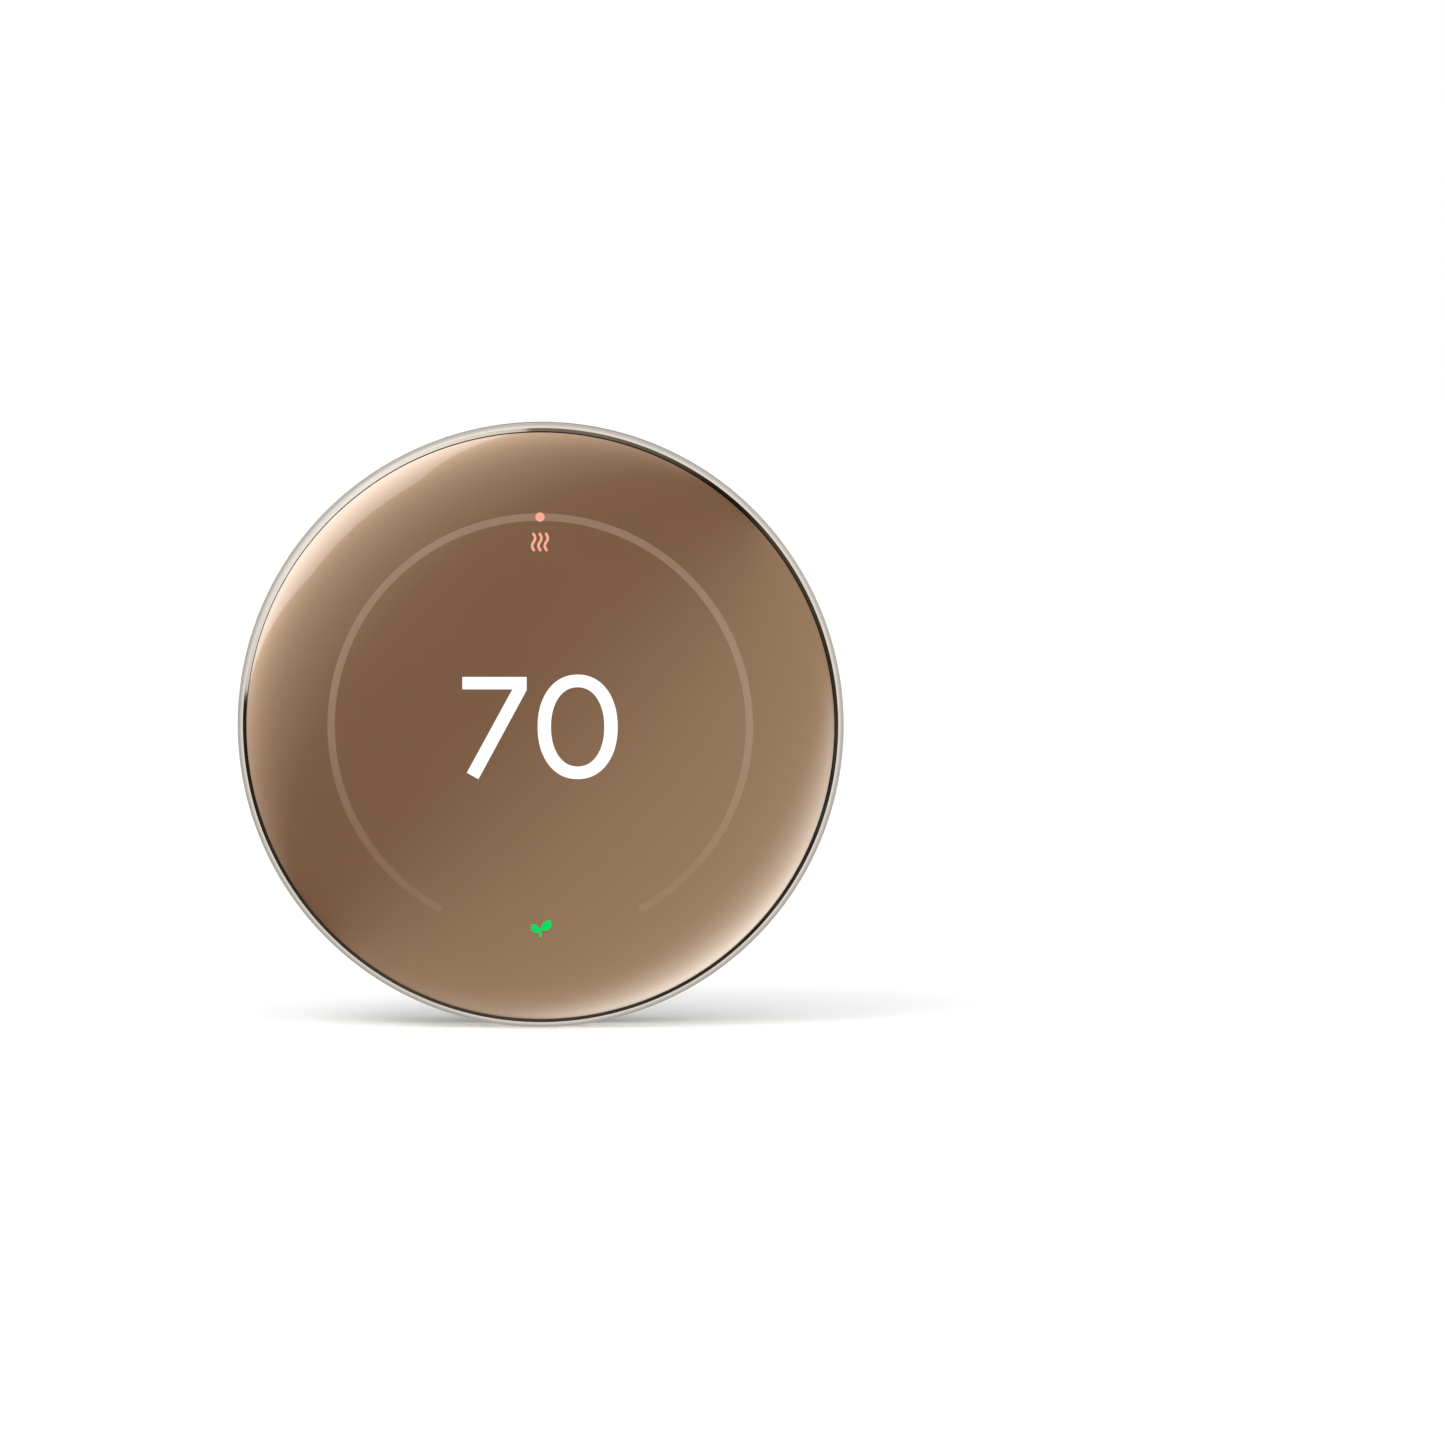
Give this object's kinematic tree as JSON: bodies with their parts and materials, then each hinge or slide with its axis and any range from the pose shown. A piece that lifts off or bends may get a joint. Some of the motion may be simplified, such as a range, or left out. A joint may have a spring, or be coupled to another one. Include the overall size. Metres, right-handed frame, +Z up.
{
  "type": "wall thermostat",
  "caption": "Round wall thermostat: a domed bronze mirror glass over a display, a turning metal ring, and a head that plugs onto a slotted wall base with push-in wire terminals.",
  "frame": {"origin": "centre of the back face, where the base meets the wall, on the ring's turning axis", "axes": "+Y into the wall, so that the face looks towards -Y; +Z up; +X to the right of someone looking at the face"},
  "size_m": [0.098, 0.0275, 0.098],
  "materials": {
    "ring_metal": "polished champagne metal, with a fine turned grain",
    "mirror_glass": "bronze mirror glass with the lit display showing through it",
    "shell_plastic": "dark warm grey moulding, fine matt texture",
    "base_plastic": "warm white moulding, matt",
    "terminal_plastic": "light grey moulding",
    "tab_plastic": "white moulding",
    "liner_plastic": "black moulding",
    "bearing_plastic": "natural acetal",
    "board": "glass-epoxy circuit board with a satin solder mask",
    "chip": "black moulded component bodies",
    "steel": "plated steel",
    "tin_plate": "tin-plated sheet",
    "cell_wrap": "shrink-wrapped cell",
    "screen": "black display panel",
    "diffuser": "white diffuser",
    "flex": "polyimide ribbon",
    "foam": "black foam tape",
    "clear": "clear vial with yellow-green liquid",
    "bubble": "air bubble"
  },
  "bodies": {
    "base": {"wall_plate": "base_plastic", "base_board": "board", "terminal_block_left": "terminal_plastic", "terminal_block_right": "terminal_plastic", "base_deck": "base_plastic", "deck_screw_1": "steel", "deck_screw_2": "steel", "level_vial": "clear", "level_cap_left": "liner_plastic", "level_cap_right": "liner_plastic", "level_bubble": "bubble", "base_socket": "chip", "grip_clip_1": "steel", "grip_clip_2": "steel"},
    "head": {"head_can": "shell_plastic", "battery": "cell_wrap", "main_board": "board", "shield_can": "tin_plate", "head_plug": "chip", "usb_socket": "tin_plate", "sounder": "chip", "radar_module": "chip", "climate_sensor": "chip", "press_switch": "chip", "board_screw_1": "steel", "board_screw_2": "steel", "shoulder_screw_1": "steel", "shoulder_screw_2": "steel", "shoulder_screw_3": "steel", "return_spring_1": "steel", "return_spring_2": "steel", "return_spring_3": "steel"},
    "face": {"face_carrier": "liner_plastic", "display_backlight": "diffuser", "display_module": "screen", "display_flex": "flex", "light_sensor": "chip", "encoder_sensor": "chip", "cover_glass": "mirror_glass", "glass_gasket": "foam", "ring_retainer": "shell_plastic", "retainer_screw_1": "steel", "retainer_screw_2": "steel", "retainer_screw_3": "steel", "bearing_ring": "bearing_plastic"},
    "ring": {"dial_ring": "ring_metal", "ring_liner": "liner_plastic"},
    "plunger": {"switch_plunger": "tab_plastic"},
    "tab_01": {"release_tab_01": "tab_plastic"},
    "tab_02": {"release_tab_02": "tab_plastic"},
    "tab_03": {"release_tab_03": "tab_plastic"},
    "tab_04": {"release_tab_04": "tab_plastic"},
    "tab_05": {"release_tab_05": "tab_plastic"},
    "tab_06": {"release_tab_06": "tab_plastic"},
    "tab_07": {"release_tab_07": "tab_plastic"},
    "tab_08": {"release_tab_08": "tab_plastic"},
    "tab_09": {"release_tab_09": "tab_plastic"},
    "tab_10": {"release_tab_10": "tab_plastic"}
  },
  "joints": [
    {"name": "head_pull", "type": "slide", "parent": "base", "child": "head", "axis": [0, -1, 0], "range_m": [0, 0.045]},
    {"name": "face_press", "type": "slide", "parent": "head", "child": "face", "axis": [0, 1, 0], "range_m": [0, 0.0006], "stiffness_N_per_m": 2500, "springref_m": -0.001, "deforming": ["return_spring_1", "return_spring_2", "return_spring_3"]},
    {"name": "plunger_press", "type": "slide", "parent": "head", "child": "plunger", "axis": [0, 1, 0], "range_m": [0, 0.0006]},
    {"name": "ring_turn", "type": "hinge", "parent": "face", "child": "ring", "pos_m": [0, -0.018, 0], "axis": [0, 1, 0], "continuous": true},
    {"name": "tab_01_press", "type": "slide", "parent": "base", "child": "tab_01", "axis": [0, 1, 0], "range_m": [0, 0.0012], "stiffness_N_per_m": 2000, "springref_m": -0.0005},
    {"name": "tab_02_press", "type": "slide", "parent": "base", "child": "tab_02", "axis": [0, 1, 0], "range_m": [0, 0.0012], "stiffness_N_per_m": 2000, "springref_m": -0.0005},
    {"name": "tab_03_press", "type": "slide", "parent": "base", "child": "tab_03", "axis": [0, 1, 0], "range_m": [0, 0.0012], "stiffness_N_per_m": 2000, "springref_m": -0.0005},
    {"name": "tab_04_press", "type": "slide", "parent": "base", "child": "tab_04", "axis": [0, 1, 0], "range_m": [0, 0.0012], "stiffness_N_per_m": 2000, "springref_m": -0.0005},
    {"name": "tab_05_press", "type": "slide", "parent": "base", "child": "tab_05", "axis": [0, 1, 0], "range_m": [0, 0.0012], "stiffness_N_per_m": 2000, "springref_m": -0.0005},
    {"name": "tab_06_press", "type": "slide", "parent": "base", "child": "tab_06", "axis": [0, 1, 0], "range_m": [0, 0.0012], "stiffness_N_per_m": 2000, "springref_m": -0.0005},
    {"name": "tab_07_press", "type": "slide", "parent": "base", "child": "tab_07", "axis": [0, 1, 0], "range_m": [0, 0.0012], "stiffness_N_per_m": 2000, "springref_m": -0.0005},
    {"name": "tab_08_press", "type": "slide", "parent": "base", "child": "tab_08", "axis": [0, 1, 0], "range_m": [0, 0.0012], "stiffness_N_per_m": 2000, "springref_m": -0.0005},
    {"name": "tab_09_press", "type": "slide", "parent": "base", "child": "tab_09", "axis": [0, 1, 0], "range_m": [0, 0.0012], "stiffness_N_per_m": 2000, "springref_m": -0.0005},
    {"name": "tab_10_press", "type": "slide", "parent": "base", "child": "tab_10", "axis": [0, 1, 0], "range_m": [0, 0.0012], "stiffness_N_per_m": 2000, "springref_m": -0.0005}
  ],
  "couplings": [
    {"joint": "plunger_press", "follows": "face_press", "ratio": 1}
  ]
}
